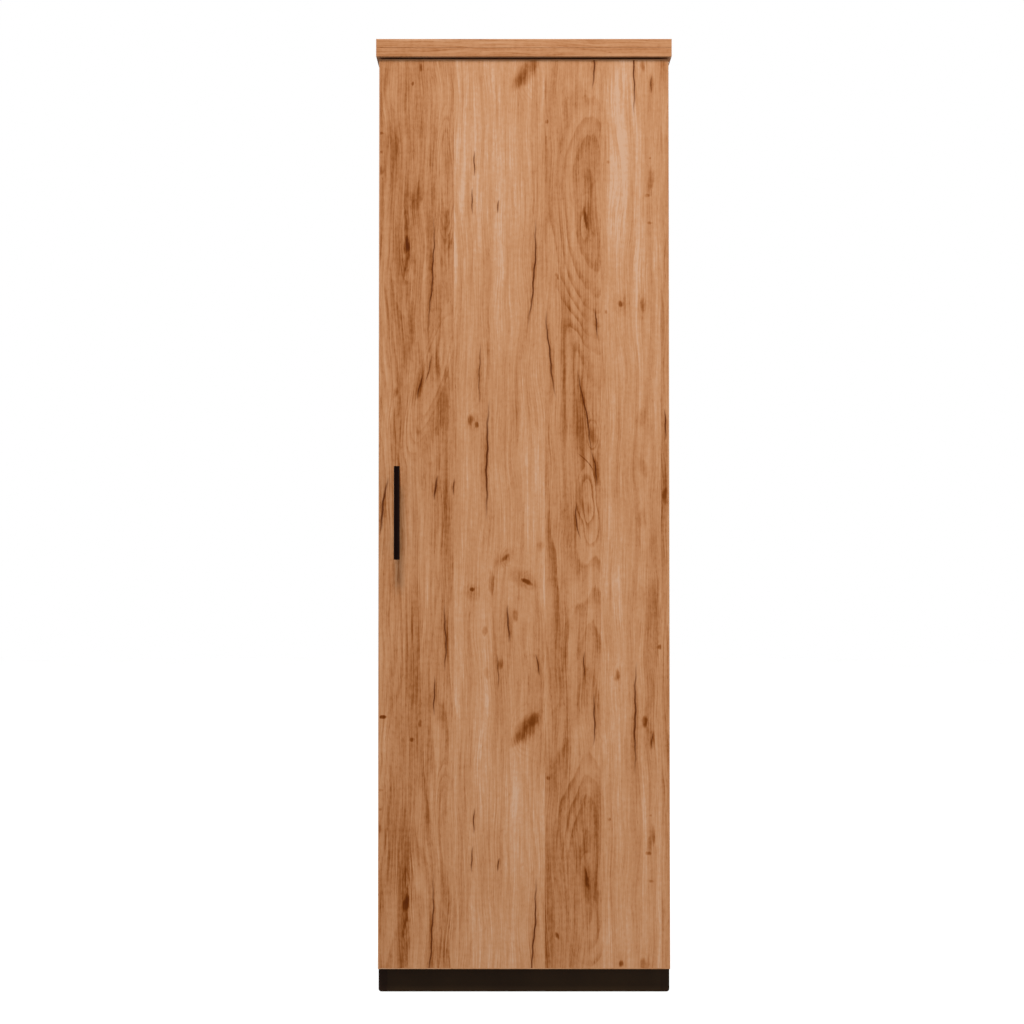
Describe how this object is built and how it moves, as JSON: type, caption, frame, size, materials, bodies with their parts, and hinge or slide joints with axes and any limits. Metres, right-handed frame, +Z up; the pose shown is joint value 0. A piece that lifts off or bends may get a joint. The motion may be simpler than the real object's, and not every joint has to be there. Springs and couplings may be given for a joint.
{
  "type": "office cabinet",
  "caption": "Tall oak-look office cabinet with a full-overlay door on concealed hinges, a black bar handle, shelves for binders, a doubled top and a black plinth.",
  "frame": {"origin": "on the floor, in the middle of the footprint with the handle counted in", "axes": "+X to the right seen from the front, +Y from the door to the back, +Z up"},
  "size_m": [0.6, 0.4454, 1.93],
  "materials": {
    "oak_board": "chipboard faced with oak-look melamine, satin",
    "oak_edging": "oak-look edging strip, satin",
    "black_board": "chipboard faced with brown-black melamine, matt",
    "hardboard": "thin hardboard, printed on the inner face",
    "beech": "fluted beech, raw",
    "black_metal": "satin black powder coat",
    "nickel_steel": "nickel-plated pressed steel",
    "zinc": "die-cast zinc, dull",
    "black_plastic": "moulded black plastic",
    "brown_plastic": "moulded oak-brown plastic",
    "clear_pad": "soft clear polyurethane"
  },
  "bodies": {
    "cabinet": {"left_side": "oak_board", "right_side": "oak_board", "bottom_panel": "oak_board", "fixed_shelf": "oak_board", "loose_shelf_1": "oak_board", "loose_shelf_2": "oak_board", "loose_shelf_3": "oak_board", "top_lower_board": "oak_board", "top_upper_board": "oak_board", "carcass_edging": "oak_edging", "shelf_edging": "oak_edging", "top_lower_edging": "oak_edging", "top_upper_edging": "oak_edging", "plinth_front": "black_board", "plinth_rear": "black_board", "plinth_left": "black_board", "plinth_right": "black_board", "back_panel": "hardboard", "wooden_dowels": "beech", "hinge_plates": "nickel_steel", "hinge_arms": "nickel_steel", "arm_pins": "nickel_steel", "arm_screws": "nickel_steel", "plate_screws": "nickel_steel", "shelf_pins": "nickel_steel", "cam_locks": "zinc", "cam_bolts": "zinc", "leveller_housings": "black_plastic", "access_caps": "brown_plastic"},
    "hinge_outer_links": {"outer_links": "nickel_steel"},
    "hinge_inner_links": {"inner_links": "nickel_steel"},
    "door": {"door_panel": "oak_board", "door_edging": "oak_edging", "door_bumpers": "clear_pad", "handle_bar": "black_metal", "handle_posts": "black_metal", "handle_screws": "nickel_steel", "hinge_cups": "nickel_steel", "cup_pins": "nickel_steel", "cup_screws": "nickel_steel"},
    "front_left_foot_body": {"front_left_foot": "black_plastic"},
    "front_right_foot_body": {"front_right_foot": "black_plastic"},
    "rear_left_foot_body": {"rear_left_foot": "black_plastic"},
    "rear_right_foot_body": {"rear_right_foot": "black_plastic"}
  },
  "joints": [
    {"name": "outer_link_swing", "type": "hinge", "parent": "cabinet", "child": "hinge_outer_links", "pos_m": [0.2457, -0.14795, 0], "axis": [0, 0, 1], "range_deg": [-26.42, 0]},
    {"name": "door_turn", "type": "hinge", "parent": "hinge_outer_links", "child": "door", "pos_m": [0.2809, -0.17085, 0], "axis": [0, 0, 1], "range_deg": [0, 121.41]},
    {"name": "inner_link_swing", "type": "hinge", "parent": "cabinet", "child": "hinge_inner_links", "pos_m": [0.2469, -0.16465, 0], "axis": [0, 0, 1], "range_deg": [-19.38, 0]},
    {"name": "front_left_foot_screw", "type": "slide", "parent": "cabinet", "child": "front_left_foot_body", "axis": [0, 0, -1], "range_m": [0, 0.012]},
    {"name": "front_right_foot_screw", "type": "slide", "parent": "cabinet", "child": "front_right_foot_body", "axis": [0, 0, -1], "range_m": [0, 0.012]},
    {"name": "rear_left_foot_screw", "type": "slide", "parent": "cabinet", "child": "rear_left_foot_body", "axis": [0, 0, -1], "range_m": [0, 0.012]},
    {"name": "rear_right_foot_screw", "type": "slide", "parent": "cabinet", "child": "rear_right_foot_body", "axis": [0, 0, -1], "range_m": [0, 0.012]}
  ],
  "couplings": [
    {"joint": "outer_link_swing", "follows": "door_turn", "ratio": -0.21753},
    {"joint": "inner_link_swing", "follows": "door_turn", "ratio": -0.15955}
  ]
}
